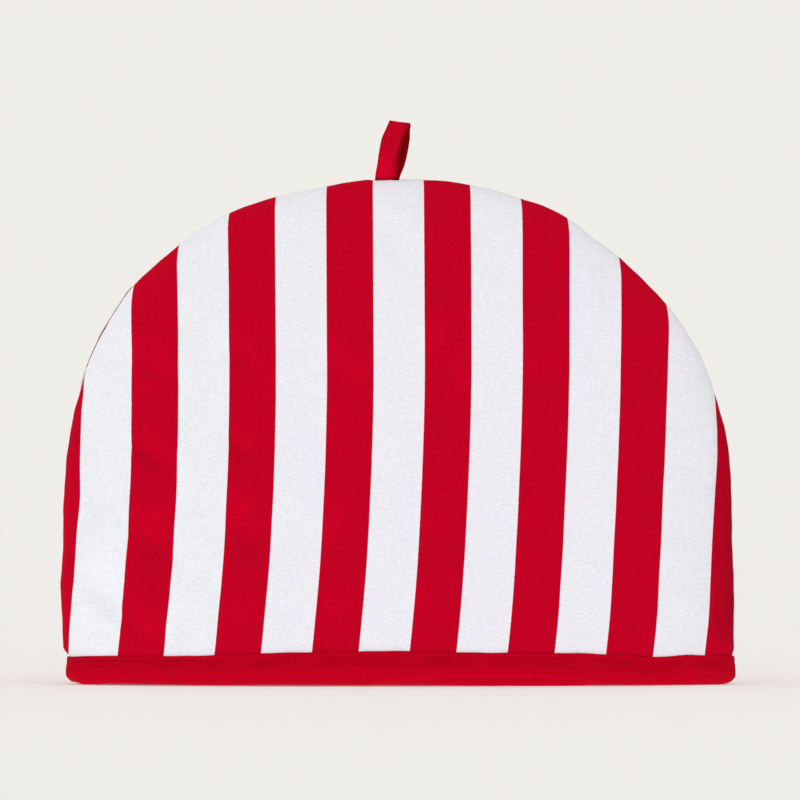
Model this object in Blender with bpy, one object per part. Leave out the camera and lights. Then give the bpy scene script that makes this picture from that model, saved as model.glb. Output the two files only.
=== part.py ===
"""A padded tea cosy, standing on its bound hem and open underneath.

Two D-shaped panels of cotton over wadding are sewn together round their curved edge. One red
strip binds the raw hem of both, and a folded red tape is caught in the top of the seam as a
hanging loop.

Metres, +Z up. The origin is on the floor under the middle of the hem. The front panel faces -Y.
"""

import math
from collections import namedtuple

import bmesh
import bpy
import numpy as np

MM = 0.001

# ---- The whole cosy
CREST_HEIGHT = 262.6 * MM  # floor to the top of the curve
HALF_DEPTH = 46.5 * MM  # how far each panel stands out at the hem, above the binding
WALL = 8.0 * MM  # cotton, wadding and cotton
GAP = 0.3 * MM  # between any two pieces
CLOTH_WHITE = (0.84, 0.86, 0.90)
CLOTH_RED = (0.52, 0.002, 0.014)
CLOTH_ROUGHNESS = 0.85
OVAL_GAP = 0.38 * MM  # between nested ovals: their slanting flanks come nearer, to about 0.3 mm

# The silhouette from the front, a row for each height, in millimetres. The two sides differ a
# little, as sewn cloth does: the left one bulges near the hem and the right one is straighter.
Outline = namedtuple("Outline", "height left right")
OUTLINE = [
    Outline(*row)
    for row in (
        (0.0, 174.6, 173.9),
        (22.0, 174.3, 173.9),
        (45.0, 175.0, 173.9),
        (75.0, 174.1, 173.0),
        (105.0, 173.4, 172.0),
        (120.0, 171.8, 170.7),
        (135.0, 169.6, 168.4),
        (150.0, 166.2, 164.4),
        (165.0, 161.3, 158.9),
        (180.0, 154.9, 150.6),
        (195.0, 146.0, 140.0),
        (208.0, 136.7, 128.5),
        (221.0, 121.7, 115.0),
        (232.0, 107.8, 100.6),
        (242.0, 91.5, 86.8),
        (251.0, 68.6, 66.8),
        (257.0, 46.0, 47.0),
        (260.5, 27.0, 29.5),
        (262.6, 0.0, 0.0),
    )
]

# ---- The rounded oval that every level section follows
ACROSS_POWER = 0.83  # below 1 fills out the flanks
OUT_POWER = 1.2  # near 1 gives a lens, near 2 a rectangle's flat ends
RISE_POWER = 2.4  # how high the panels stay upright before they lean together
LEAN_POWER = 0.6  # how steeply they then close
WIDEST = 175.0 * MM
ROLL = 0.7 * MM  # the widest place of the rolled edge lies this far inside the oval's end
SEAM_TUCK = 1.3 * MM  # the seam lies in a small valley
SEAM_REACH = 3.0 * MM  # the panels draw apart to leave the gap this far out from the seam
AT_SEAM = 0.001 * MM  # points nearer the seam's plane than this are on the seam

# ---- The binding round the hem, a U in section
BINDING_LEFT = 172.2 * MM
BINDING_RIGHT = 174.5 * MM
BINDING_DEPTH = 45.2 * MM
BINDING_SIDE_HEIGHT = 14.3 * MM
BINDING_ARCH = 2.6 * MM  # its upper edge rises this much from the sides to the middle
BINDING_SWELL = 0.4 * MM  # the folded strip rounds out half way up
LEAF = 1.3 * MM
BINDING_EDGE = LEAF / 3  # its folded edges are rounded by this much
HEM_WALL = 4.0 * MM  # the padding, pressed flat inside the binding
HEM_FLOOR = 1.4 * MM

# ---- How the panel swells out over the binding
SWELL_START = BINDING_SIDE_HEIGHT + 0.2 * MM
SWELL_END = 27.0 * MM
ARCH_FROM = 2.0 * MM  # the panel's rows follow the binding's arch fully between the middle two
ARCH_FULL = 12.0 * MM
ARCH_UNTIL = 20.0 * MM
ARCH_GONE = 35.0 * MM

# ---- The hanging loop, a tape folded in two
TAPE_WIDTH = 11.5 * MM
TAPE_THICK = 1.4 * MM
TAPE_EDGE = 0.35 * MM  # its rounded edges
TAIL_DEPTH = 5.0 * MM  # how far its ends go down into the seam
LOOP_RISE = 29.6 * MM  # above the crest
LOOP_FOOT_X = -6.4 * MM
LOOP_LEAN_X = 7.2 * MM  # how far its top is to the right of its foot
LOOP_LEAN_POWER = 1.8
LOOP_TURN = math.radians(20)  # about the vertical, right edge forward
LOOP_TOP_TILT = math.radians(10)  # its top fold slopes down to the right
FOLD_RADIUS = 0.9 * MM  # of the tape's middle round its top fold
FOLD_TURNS = np.radians((-60, -20, 20, 60))  # the tape's sections round that fold, 0 at the top
TAIL_SPREAD = (TAPE_THICK + GAP) / 2  # from the loop's middle to the middle of each end
LOOP_BELLY = 4.3 * MM  # the same at the loop's widest
BELLY_RISE = 0.42  # where that is, as a share of its rise
TURNED_BY = 0.25  # the share of its rise over which it turns
LOOP_STEPS = 15  # along each leg

COLUMNS = 32  # across each panel, seam to seam
HEM_ROWS = (1.7, 8.0, 14.2, 16.2, 18.5, 22.0, 27.0, 35.0)  # heights in millimetres
UPPER_ROWS = 17
LAST_ROW_ANGLE = math.radians(86.5)

Skin = namedtuple("Skin", "top width depth hem_inset tuck")
OUTSIDE = Skin(1.0, 1.0, 1.0, LEAF + OVAL_GAP, SEAM_TUCK)
INSIDE = Skin(
    1 - WALL / CREST_HEIGHT,
    1 - WALL / WIDEST,
    1 - WALL / HALF_DEPTH,
    LEAF + OVAL_GAP + HEM_WALL,
    0.0,
)


def smooth_through(at, points, values):
    """A cubic curve through the given points, with each slope taken from the neighbours."""
    slopes = np.gradient(values, points)
    i = int(np.clip(np.searchsorted(points, at) - 1, 0, len(points) - 2))
    step = points[i + 1] - points[i]
    t = (at - points[i]) / step
    return (
        (2 * t**3 - 3 * t**2 + 1) * values[i]
        + (t**3 - 2 * t**2 + t) * step * slopes[i]
        + (3 * t**2 - 2 * t**3) * values[i + 1]
        + (t**3 - t**2) * step * slopes[i + 1]
    )


def ease(value, low, high):
    """0 below low, 1 above high, and a smooth step between."""
    t = min(max((value - low) / (high - low), 0.0), 1.0)
    return t * t * (3 - 2 * t)


def crest_angle(height):
    """The angle whose sine is the share of the crest's height, so that the top reads as round."""
    return math.asin(min(height / CREST_HEIGHT, 1.0))


OUTLINE_ANGLES = np.array([crest_angle(row.height * MM) for row in OUTLINE])
OUTLINE_LEFT = np.array([row.left for row in OUTLINE]) * MM
OUTLINE_RIGHT = np.array([row.right for row in OUTLINE]) * MM


def oval(angle, left, right, depth):
    """(x, out) on a level section: angle 0 is the right-hand seam, a quarter turn the front's middle."""
    across = math.cos(angle)
    out = math.sin(angle)
    reach = right if across > 0 else left
    x = math.copysign(abs(across) ** ACROSS_POWER, across) * reach
    return x, math.copysign(abs(out) ** OUT_POWER, out) * depth


def binding_top(x):
    """The height of the binding's upper edge, which arches gently towards the middle."""
    return BINDING_SIDE_HEIGHT + BINDING_ARCH * (1 - (x / WIDEST) ** 2)


def section(height, skin):
    """(left, right, depth) of a panel's skin at this height of the outside."""
    angle = crest_angle(height)
    roll = ROLL * math.cos(angle)
    lean = max(1 - (height / CREST_HEIGHT) ** RISE_POWER, 0.0) ** LEAN_POWER
    free = (
        (smooth_through(angle, OUTLINE_ANGLES, OUTLINE_LEFT) + roll) * skin.width,
        (smooth_through(angle, OUTLINE_ANGLES, OUTLINE_RIGHT) + roll) * skin.width,
        HALF_DEPTH * lean * skin.depth,
    )
    pressed = (
        BINDING_LEFT - skin.hem_inset,
        BINDING_RIGHT - skin.hem_inset,
        BINDING_DEPTH - skin.hem_inset,
    )
    share = ease(height, SWELL_START, SWELL_END)
    return [p + (f - p) * share for p, f in zip(pressed, free)]


def skin_point(height, angle, skin):
    """(x, out, z) on a panel's skin, with the seam drawn into its valley above the hem."""
    x, out = oval(angle, *section(height, skin))
    arch = ease(height, ARCH_FROM, ARCH_FULL) * (1 - ease(height, ARCH_UNTIL, ARCH_GONE))
    z = height + arch * (binding_top(x) - BINDING_SIDE_HEIGHT)
    z -= (1 - skin.top) * height**2 / CREST_HEIGHT
    if out < AT_SEAM:
        inward = skin.tuck * ease(height, SWELL_START, SWELL_END) / math.hypot(x, z)
        x, z = x * (1 - inward), z * (1 - inward)
    return x, out, z


def row_heights():
    hem = [height * MM for height in HEM_ROWS]
    angles = np.linspace(crest_angle(hem[-1]), LAST_ROW_ANGLE, UPPER_ROWS + 1)[1:]
    return hem + [CREST_HEIGHT * math.sin(angle) for angle in angles]


def add_skin(mesh, skin, facing):
    """One face of a panel as rows of points from the hem up, and the point at its crest."""

    def place(x, out, z):
        apart = GAP / 2 * (1 - ease(out, 0.0, SEAM_REACH))
        return mesh.verts.new((x, facing * (out + apart), z))

    angles = [math.pi * column / COLUMNS for column in range(COLUMNS + 1)]
    rows = [[place(*skin_point(height, angle, skin)) for angle in angles] for height in row_heights()]
    for lower, upper in zip(rows, rows[1:]):
        for j in range(COLUMNS):
            mesh.faces.new((lower[j], lower[j + 1], upper[j + 1], upper[j]))
    crest = place(0.0, 0.0, CREST_HEIGHT * skin.top - skin.tuck)
    for a, b in zip(rows[-1], rows[-1][1:]):
        mesh.faces.new((a, b, crest))
    return rows, crest


def add_object(name, mesh, colour, sharp_degrees=40):
    bmesh.ops.recalc_face_normals(mesh, faces=mesh.faces)
    data = bpy.data.meshes.new(name)
    mesh.to_mesh(data)
    mesh.free()
    data.shade_smooth()
    data.set_sharp_from_angle(angle=math.radians(sharp_degrees))
    material = bpy.data.materials.new(name)
    material.use_nodes = True
    shader = material.node_tree.nodes["Principled BSDF"]
    shader.inputs["Base Color"].default_value = (*colour, 1.0)
    shader.inputs["Roughness"].default_value = CLOTH_ROUGHNESS
    shader.inputs["Metallic"].default_value = 0.0
    data.materials.append(material)
    made = bpy.data.objects.new(name, data)
    bpy.context.scene.collection.objects.link(made)
    return made


def panel(name, facing, colour):
    """A padded panel, facing -1 at the front and +1 at the back, flat where it meets the other."""
    mesh = bmesh.new()
    outer, outer_crest = add_skin(mesh, OUTSIDE, facing)
    inner, inner_crest = add_skin(mesh, INSIDE, facing)
    for j in range(COLUMNS):
        mesh.faces.new((outer[0][j], outer[0][j + 1], inner[0][j + 1], inner[0][j]))
    for seam in (0, COLUMNS):
        for i in range(len(outer) - 1):
            mesh.faces.new((outer[i][seam], outer[i + 1][seam], inner[i + 1][seam], inner[i][seam]))
        mesh.faces.new((outer[-1][seam], outer_crest, inner_crest, inner[-1][seam]))
    return add_object(name, mesh, colour)


def binding_profile(top):
    """The folded strip in section: (inset from the outside, height), once round the U."""
    across = 2 * (LEAF + OVAL_GAP) + HEM_WALL
    half = [
        (LEAF, HEM_FLOOR),
        (LEAF, top),
        (BINDING_EDGE, top),
        (0.0, top - BINDING_EDGE),
        (-BINDING_SWELL, top / 2),
        (0.0, LEAF),
        (BINDING_EDGE, BINDING_EDGE),
        (LEAF, 0.0),
    ]
    return half + [(across - inset, height) for inset, height in reversed(half)]


def hem_binding(name, colour):
    """The strip folded over the hem and carried all the way round the opening."""
    mesh = bmesh.new()
    rings = []
    for station in range(2 * COLUMNS):
        angle = math.pi * station / COLUMNS
        top = binding_top(oval(angle, BINDING_LEFT, BINDING_RIGHT, BINDING_DEPTH)[0])
        ring = []
        for inset, height in binding_profile(top):
            sizes = (BINDING_LEFT - inset, BINDING_RIGHT - inset, BINDING_DEPTH - inset)
            x, out = oval(angle, *sizes)
            ring.append(mesh.verts.new((x, -out, height)))
        rings.append(ring)
    for ring, following in zip(rings, rings[1:] + rings[:1]):
        for k in range(len(ring)):
            after = (k + 1) % len(ring)
            mesh.faces.new((ring[k], following[k], following[after], ring[after]))
    return add_object(name, mesh, colour)


def leg_spread(rise):
    """Half the distance between the tape's two legs, rise being 0 at the crest and 1 at the fold."""
    foot = TAIL_SPREAD + (LOOP_BELLY - TAIL_SPREAD) * ease(rise, 0.0, BELLY_RISE)
    return foot + (FOLD_RADIUS - LOOP_BELLY) * ease(rise, BELLY_RISE, 1.0)


def loop_path():
    """(spread, rise) along the tape: up the front leg, round the fold and down the back leg."""
    low = -TAIL_DEPTH / LOOP_RISE
    high = 1 - (FOLD_RADIUS + TAPE_THICK / 2) / LOOP_RISE
    legs = [low, *np.linspace(low / 2, high, LOOP_STEPS)]
    front = [(-leg_spread(rise), rise) for rise in legs]
    fold = [
        (FOLD_RADIUS * math.sin(turn), high + FOLD_RADIUS * math.cos(turn) / LOOP_RISE)
        for turn in FOLD_TURNS
    ]
    return front + fold + [(-spread, rise) for spread, rise in reversed(front)]


def tape_section():
    """(across, through) round the tape, with its long edges rounded."""
    half, thick = TAPE_WIDTH / 2, TAPE_THICK / 2
    quarter = [(half, thick - TAPE_EDGE), (half - TAPE_EDGE, thick)]
    top = quarter + [(-across, through) for across, through in reversed(quarter)]
    return top + [(-across, -through) for across, through in top]


def hanging_loop(name, colour):
    """The tape swept along its path, turning and leaning as it leaves the seam."""
    path = loop_path()
    mesh = bmesh.new()
    rings = []
    for i, (spread, rise) in enumerate(path):
        before, after = path[max(i - 1, 0)], path[min(i + 1, len(path) - 1)]
        along = np.array([after[0] - before[0], (after[1] - before[1]) * LOOP_RISE])
        along /= np.linalg.norm(along)
        turn = LOOP_TURN * ease(rise, 0.0, TURNED_BY)
        tilt = LOOP_TOP_TILT * max(rise, 0.0)
        lean = LOOP_LEAN_X * max(rise, 0.0) ** LOOP_LEAN_POWER
        ring = []
        for across, through in tape_section():
            deep = spread + through * along[1]
            up = rise * LOOP_RISE - through * along[0] - across * math.sin(tilt)
            level = across * math.cos(tilt)
            x = LOOP_FOOT_X + lean + level * math.cos(turn) + deep * math.sin(turn)
            y = -level * math.sin(turn) + deep * math.cos(turn)
            ring.append(mesh.verts.new((x, y, CREST_HEIGHT + up)))
        rings.append(ring)
    for ring, following in zip(rings, rings[1:]):
        for k in range(len(ring)):
            after = (k + 1) % len(ring)
            mesh.faces.new((ring[k], following[k], following[after], ring[after]))
    mesh.faces.new(rings[0])
    mesh.faces.new(rings[-1])
    return add_object(name, mesh, colour)


def seam_pocket(name):
    """The room in the seam for the loop's ends; it cuts both panels and isn't part of the cosy."""
    mesh = bmesh.new()
    bmesh.ops.create_cube(mesh, size=1.0)
    size = (
        TAPE_WIDTH + 2 * GAP,
        2 * (TAIL_SPREAD + TAPE_THICK / 2 + GAP),
        2 * (TAIL_DEPTH + GAP),
    )
    bmesh.ops.scale(mesh, vec=size, verts=mesh.verts)
    bmesh.ops.translate(mesh, vec=(LOOP_FOOT_X, 0.0, CREST_HEIGHT), verts=mesh.verts)
    made = add_object(name, mesh, CLOTH_RED)
    made.hide_render = True
    made.display_type = "WIRE"
    return made


def cut(target, cutter):
    modifier = target.modifiers.new("seam_pocket", "BOOLEAN")
    modifier.operation = "DIFFERENCE"
    modifier.solver = "EXACT"
    modifier.object = cutter


def main():
    for existing in list(bpy.data.objects):
        bpy.data.objects.remove(existing)
    front = panel("front_panel", -1, CLOTH_WHITE)
    back = panel("back_panel", 1, CLOTH_WHITE)
    hem_binding("hem_binding", CLOTH_RED)
    hanging_loop("hanging_loop", CLOTH_RED)
    pocket = seam_pocket("loop_pocket")
    cut(front, pocket)
    cut(back, pocket)


main()
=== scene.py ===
"""The looks of a padded tea cosy in striped cotton, standing on its bound hem.

The front and back panels, the hem binding with its topstitching and the hanging loop are dense
meshes on the frame's own surfaces, with the dents, puckers and creases of sewn cloth. Each mesh
carries the place of every point on the flat cloth, and the materials draw stripes and threads
there. Metres, +Z up, the front faces -Y.
"""

import math
from collections import namedtuple

import bmesh
import bpy
import numpy as np
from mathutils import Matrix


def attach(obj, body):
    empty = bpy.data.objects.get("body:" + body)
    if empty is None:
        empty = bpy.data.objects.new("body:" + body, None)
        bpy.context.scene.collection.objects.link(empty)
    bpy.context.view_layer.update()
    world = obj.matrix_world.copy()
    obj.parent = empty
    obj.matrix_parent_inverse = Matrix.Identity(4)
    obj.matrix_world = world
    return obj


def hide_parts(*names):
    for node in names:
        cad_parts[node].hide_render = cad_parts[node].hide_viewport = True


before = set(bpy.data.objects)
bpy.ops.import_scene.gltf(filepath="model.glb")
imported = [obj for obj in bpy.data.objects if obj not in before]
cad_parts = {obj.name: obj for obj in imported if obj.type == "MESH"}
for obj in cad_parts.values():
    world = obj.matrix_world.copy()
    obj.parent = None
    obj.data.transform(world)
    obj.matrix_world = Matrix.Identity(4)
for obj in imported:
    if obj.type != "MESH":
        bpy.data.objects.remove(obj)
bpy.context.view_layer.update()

MM = 0.001

# ---- The cosy's surface, close to that of the solids
CREST_HEIGHT = 262.6 * MM
HALF_DEPTH = 46.5 * MM
WALL = 8.0 * MM
GAP = 0.3 * MM
OVAL_GAP = 0.38 * MM
ACROSS_POWER = 0.83
OUT_POWER = 1.2
RISE_POWER = 2.4
LEAN_POWER = 0.6
WIDEST = 175.0 * MM
ROLL = 0.7 * MM
SEAM_TUCK = 1.3 * MM  # the cloth draws in this deep at the seam
SEAM_WIDTH = 1.1 * MM
SEAM_REACH = 3.0 * MM  # the gap between the panels closes over this distance

OUTLINE = (  # the seam seen from the front: (height, out to the left, to the right), in millimetres
    (0.0, 173.0, 173.7),
    (22.0, 173.7, 173.7),
    (45.0, 175.0, 173.9),
    (75.0, 174.1, 173.0),
    (105.0, 173.4, 172.0),
    (120.0, 171.8, 170.7),
    (135.0, 169.6, 168.4),
    (150.0, 166.2, 164.4),
    (165.0, 161.3, 158.9),
    (180.0, 154.9, 150.6),
    (195.0, 146.0, 140.0),
    (208.0, 136.7, 128.5),
    (221.0, 121.7, 115.0),
    (232.0, 107.8, 100.6),
    (242.0, 91.5, 86.8),
    (251.0, 68.6, 66.8),
    (257.0, 46.0, 47.0),
    (260.5, 27.0, 29.5),
    (262.6, 0.0, 0.0),
)

BINDING_SIZES = (172.2 * MM, 174.5 * MM, 45.2 * MM)  # out to the left and right, and half its depth
BINDING_SIDE_HEIGHT = 14.3 * MM
BINDING_ARCH = 2.6 * MM
LEAF = 1.3 * MM
HEM_WALL = 4.0 * MM
HEM_FLOOR = 1.4 * MM
SWELL = (14.5 * MM, 46.0 * MM)  # between these heights the cloth comes out over the binding
SIDE_SWELL = (13.0 * MM, 19.5 * MM)  # and between these at the seams
FREE = (14.5 * MM, 30.25 * MM)  # it is flat below, where the binding holds it
ARCH = (2.0 * MM, 12.0 * MM, 20.0 * MM, 35.0 * MM)  # its rows follow the binding's edge here
HEM_START = 5.0 * MM

TAPE_WIDTH = 11.5 * MM
TAPE_THICK = 1.4 * MM
TAPE_CORNER = 0.6 * MM
TAPE_HOLLOW = 0.12 * MM
TAIL_DEPTH = 5.0 * MM
LOOP_RISE = 29.6 * MM
LOOP_FOOT_X = -6.4 * MM
LOOP_POCKET = 1.15 * MM  # how deep the seam opens round the tape
POCKET_SIDES = (5.5 * MM, 9.0 * MM)  # it closes between these distances from the tape's middle
POCKET_DEPTH = 2.3 * MM
LOOP_TURN = math.radians(20)
BACK_TWIST = math.radians(50)  # the back leg turns the other way between its foot and the fold
TWIST_POWER = 0.8
LOOP_TOP_TILT = math.radians(7.8)
FOLD_RADIUS = 0.9 * MM
FOLD_DROP = 0.3 * MM
FOLD_TURN = 75  # the fold starts and ends this many degrees from its top
TAIL_SPREAD = (TAPE_THICK + GAP) / 2
LOOP_BELLY = 4.3 * MM
BELLY_RISE = 0.42  # of the loop's height
TURNED_BY = 0.25
LEG_PLACES = (  # the legs' middles from side to side: (rise, front and back leg in millimetres)
    (-0.17, -6.6, -5.7),
    (0.0, -6.4, -5.1),
    (0.2, -5.7, -2.7),
    (0.45, -4.6, -0.4),
    (0.72, -2.8, 0.5),
    (0.87, -0.8, 0.35),
    (1.0, 0.85, 0.95),
)

# ---- Fineness of the meshes
ROW_STEP = 1.25 * MM  # along the middle of a panel, hem to crest
PANEL_COLUMNS = 300
INSIDE_ROW_STEP = 5.0 * MM
BINDING_STEP = 1.3 * MM
LAST_ROW_SHARE = 0.9995  # of the crest's height
LEG_ROWS, FOLD_ROWS = 48, 11  # along the loop
CORNER_POINTS, FLAT_POINTS = 6, 15  # round its tape
DENSE_ROWS, DENSE_COLUMNS, DENSE_RING = 2000, 1500, 6000  # points that even steps are found on
SEAM_POINTS = 400  # from the hem to the crest
BATCH = 4000  # points set against the seam's line at a time

# ---- The striped cloth
PITCH = 50.8 * MM  # one red and one white stripe
WHITE_WIDTH = 26.5 * MM
STRETCH = 0.0081  # the padded middle stretches the cloth by this share
WHITE_CENTRE = 0.3 * MM  # the middle white stripe, from the front's centre line
BACK_CENTRE = 25.6 * MM  # the back is cut half a repeat further along the cloth
LEANS = (  # the stripes' shift from their places at the shoulder: (height, left, middle, right)
    (10.0, -7.9, -8.8, -8.0),
    (17.6, -7.0, -7.8, -7.1),
    (35.0, -5.35, -6.0, -5.3),
    (56.6, -3.3, -4.1, -4.1),
    (95.0, -0.85, -1.85, -2.2),
    (150.0, 0.3, 0.0, -0.1),
    (200.0, 0.05, -0.05, 0.4),
    (262.6, 0.0, -0.4, -0.7),
)
RIM_MIDDLE_Z = 64.0 * MM
RIM_SHIFTS = [  # the edge's small bulges: (degrees round the middle, millimetres out)
    (-5, 0.1), (8, 0.15), (14, 0.5), (18, 0.75), (22, 0.4), (28, 0.1), (36, 0.45), (45, 0.75),
    (50, 0.3), (58, 0.4), (63, 0.5), (67.5, 1.2), (71.5, 0.4), (78, 0.1), (82, 0.45), (88, 0.0),
    (94, 0.1), (99, 0.45), (104, 0.1), (108, 0.25), (112.5, 1.15), (116, 1.0), (121, 0.8),
    (127, 0.6), (132, 0.1), (140, 0.0), (185, 0.0),
]
RIM_SHIFTS_END = (4.0 * MM, 40.0 * MM)  # they fade out between these distances from the edge
BACK_SET_IN = 0.4 * MM  # the back's rim lies this far inside the front's
BACK_SET_REACH = 7.0 * MM
BACK_SHOWS = 1.1 * MM  # but comes out by this much on the upper left, between these heights
BACK_SHOWS_AT = (145.0 * MM, 160.0 * MM, 200.0 * MM, 212.0 * MM)
LEAN_SPAN = 125.0 * MM  # from the middle column of the table to its sides
LEAN_REACH = 1.2  # times the span, and constant further out
RIM_REACH = 8.3 * MM  # the cloth rolls under this near to the seam
RIM_TAKE_UP = 2.2 * MM  # and so its stripes draw in by this much there

PUCKER = 0.12 * MM  # small waves along the seam
PUCKER_PERIODS = (23.0 * MM, 13.0 * MM, 37.0 * MM)
PUCKER_REACH = 14.0 * MM
SOFTNESS = 0.3 * MM  # wide waves in the padding
SOFT_SLANT = 0.35
SOFT_PERIODS_ACROSS = (61.0 * MM, 47.0 * MM)
SOFT_PERIODS_UP = (73.0 * MM, 39.0 * MM)

# ---- Shades of the panels' edges, each given as the depth of a dent that looks as dark
SEAM_SHADE = 7.0 * MM  # in the seam's valley
SEAM_SHADE_WIDTH = 0.9 * MM
BACK_SHADE = 12.0  # times what the back shows
BACK_SHADE_WIDTH = 2.6 * MM
RIGHT_SHADE = 2.4 * MM  # the right-hand edge turns away from the light, in two steps
RIGHT_SHADE_STEPS = ((160.0 * MM, 165.0 * MM), (166.0 * MM, 174.0 * MM))
DEEPEST_SHADE = 12.0 * MM  # of all of them together

Dent = namedtuple("Dent", "x height depth length width slope")
# troughs in the padding, or puffs if below 0, in millimetres and degrees
FRONT_DENTS = [Dent(*row) for row in (
    (-158, 89, 1.5, 6, 12, 15),
    (-153, 42, 2.2, 14, 3.6, -40),
    (-162, 33, -1.1, 6, 8, 0),
    (-101, 218, 0.6, 9, 12, 10),
    (-108, 178, 0.8, 8, 12, 0),
    (-129, 176, -0.4, 12, 8, -20),
    (-121, 165, -0.9, 10, 6, -20),
    (-128, 161, 1.3, 7, 2.8, -38),
    (-110, 132, 0.5, 8, 12, 0),
    (-124, 126, -1.3, 13, 4.5, -40),
    (-129, 116, 2.2, 11, 2.8, -38),
    (-130, 102, 0.6, 12, 8, -30),
    (-128, 85, -1.4, 10, 10, -15),
    (-127, 69, 1.7, 13, 3.8, -33),
    (-150, 61, -1.7, 10, 15, 0),
    (-130, 55, 1.0, 11, 8, -60),
    (-127, 34, -1.4, 10, 7, -35),
    (-108, 27, 0.8, 10, 4, 60),
    (-103, 24, -0.8, 9, 4, 60),
    (-135, 23, 0.7, 7, 4, -20),
    (-68, 211, -0.6, 8, 6, -30),
    (-78, 205, 0.5, 12, 9, -20),
    (-80, 178, -1.2, 9, 6, -30),
    (-82, 167, 1.3, 7, 3, -25),
    (-69, 163, -0.8, 8, 6, -30),
    (-79, 128, -1.1, 10, 5, -38),
    (-82, 120, 1.6, 9, 2.8, -30),
    (-78, 111, 0.7, 10, 6, -20),
    (-80, 92, -1.5, 9, 10, 0),
    (-79, 68, 1.4, 11, 9, -10),
    (-81, 38, -0.6, 10, 10, 0),
    (-57, 29, 0.8, 10, 4, 60),
    (-51, 27, -0.8, 10, 4, 60),
    (-4, 226, 0.8, 7, 14, 0),
    (-33, 175, -1.2, 8, 5, -35),
    (-21, 162, -1.5, 8, 8, -40),
    (-32, 158, 0.6, 8, 5, -20),
    (-28, 135, -0.5, 12, 10, 0),
    (-28, 110, 0.6, 12, 8, -20),
    (-32, 87, -1.2, 7, 10, 0),
    (-25, 65, 0.5, 12, 8, 10),
    (-31, 43, -0.9, 8, 9, 0),
    (31, 224, -0.7, 8, 10, 0),
    (21, 203, 0.5, 11, 8, 0),
    (19, 180, -1.2, 7, 11, 0),
    (33, 165, -1.2, 6, 11, 0),
    (22, 137, 0.5, 11, 9, -20),
    (19, 118, 0.6, 9, 7, 0),
    (20, 85, -0.7, 9, 6, 0),
    (28, 65, 0.4, 11, 9, 20),
    (14, 45, -1.1, 7, 9, 0),
    (76, 200, 0.6, 11, 8, 10),
    (76, 166, -0.6, 12, 7, 0),
    (76, 151, 0.5, 9, 8, 0),
    (73, 119, 0.3, 11, 9, 0),
    (68, 87, -0.5, 9, 6, 0),
    (124, 118, -0.6, 9, 6, 0),
    (132, 102, 0.6, 8, 7, 0),
    (124, 75, -0.3, 10, 9, 0),
)]
BACK_DENTS = [Dent(*row) for row in (
    (-118, 120, 0.7, 28, 10, 48),
    (-60, 176, 0.6, 34, 14, -64),
    (12, 92, 0.5, 44, 18, 82),
    (70, 196, 0.6, 30, 12, 52),
    (122, 132, 0.7, 26, 9, -40),
    (40, 46, 0.4, 44, 12, -6),
    (-84, 48, 0.5, 36, 11, 8),
)]

# ---- Camera and light
PHOTO_SPAN = 415.2 * MM  # the width of the photograph at the seam's plane
PHOTO_MIDDLE_X = 0.8 * MM
PHOTO_MIDDLE_Z = 147.4 * MM
LENS_MM = 500
SENSOR_MM = 36
CLIP_RANGE = (0.1, 60.0)


# ---- Curves and steps
def ease(value, low, high):
    """A soft step from 0 at low to 1 at high."""
    t = np.clip((value - low) / (high - low), 0.0, 1.0)
    return t * t * (3 - 2 * t)


def between(value, start, full, until, gone):
    """A soft step up from start to full, and down again between until and gone."""
    return ease(value, start, full) * (1 - ease(value, until, gone))


def bell(value, width, power=2):
    """1 at 0, falling away on both sides."""
    return np.exp(-((value / width) ** power))


def smooth_through(at, points, values):
    """A cubic curve through the given points, with each slope taken from the neighbours."""
    points, values = np.asarray(points, float), np.asarray(values, float)
    slopes = np.gradient(values, points)
    i = np.clip(np.searchsorted(points, at) - 1, 0, len(points) - 2)
    step = points[i + 1] - points[i]
    t = (at - points[i]) / step
    return (
        (2 * t**3 - 3 * t**2 + 1) * values[i]
        + (t**3 - 2 * t**2 + t) * step * slopes[i]
        + (3 * t**2 - 2 * t**3) * values[i + 1]
        + (t**3 - t**2) * step * slopes[i + 1]
    )


def run_along(*line):
    """The length up to each point of a line, from its coordinates."""
    return np.concatenate([[0.0], np.cumsum(np.hypot(*map(np.diff, line)))])


def from_table(x, table):
    """A smooth curve through a table's (place, value) rows in millimetres."""
    places, values = np.array(table).T * MM
    return smooth_through(np.clip(x, places[0], places[-1]), places, values)


def crest_angle(height):
    """Heights as angles, which spread the rows near the crest evenly."""
    return np.arcsin(np.clip(np.asarray(height) / CREST_HEIGHT, 0.0, 1.0))


OUTLINE_HEIGHTS, OUTLINE_LEFT, OUTLINE_RIGHT = np.array(OUTLINE).T * MM
OUTLINE_ANGLES = crest_angle(OUTLINE_HEIGHTS)


def seam_sides(height):
    """How far out the seam is to the left and to the right at each height."""
    angle = crest_angle(height)
    roll = ROLL * np.cos(angle)
    sides = (OUTLINE_LEFT, OUTLINE_RIGHT)
    return [smooth_through(angle, OUTLINE_ANGLES, side) + roll for side in sides]


def signed_power(value, power):
    return np.sign(value) * np.abs(value) ** power


def oval(angle, left, right, depth):
    """(x, out) on a level section: angle 0 is the right-hand seam, a quarter turn the front."""
    across, out = np.cos(angle), np.sin(angle)
    x = signed_power(across, ACROSS_POWER) * np.where(across > 0, right, left)
    return x, signed_power(out, OUT_POWER) * depth


def binding_sizes(inset):
    """(left, right, depth) of an oval that lies this far inside the binding's outside."""
    return [size - inset for size in BINDING_SIZES]


def binding_top(x):
    return BINDING_SIDE_HEIGHT + BINDING_ARCH * (1 - (x / WIDEST) ** 2)


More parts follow.
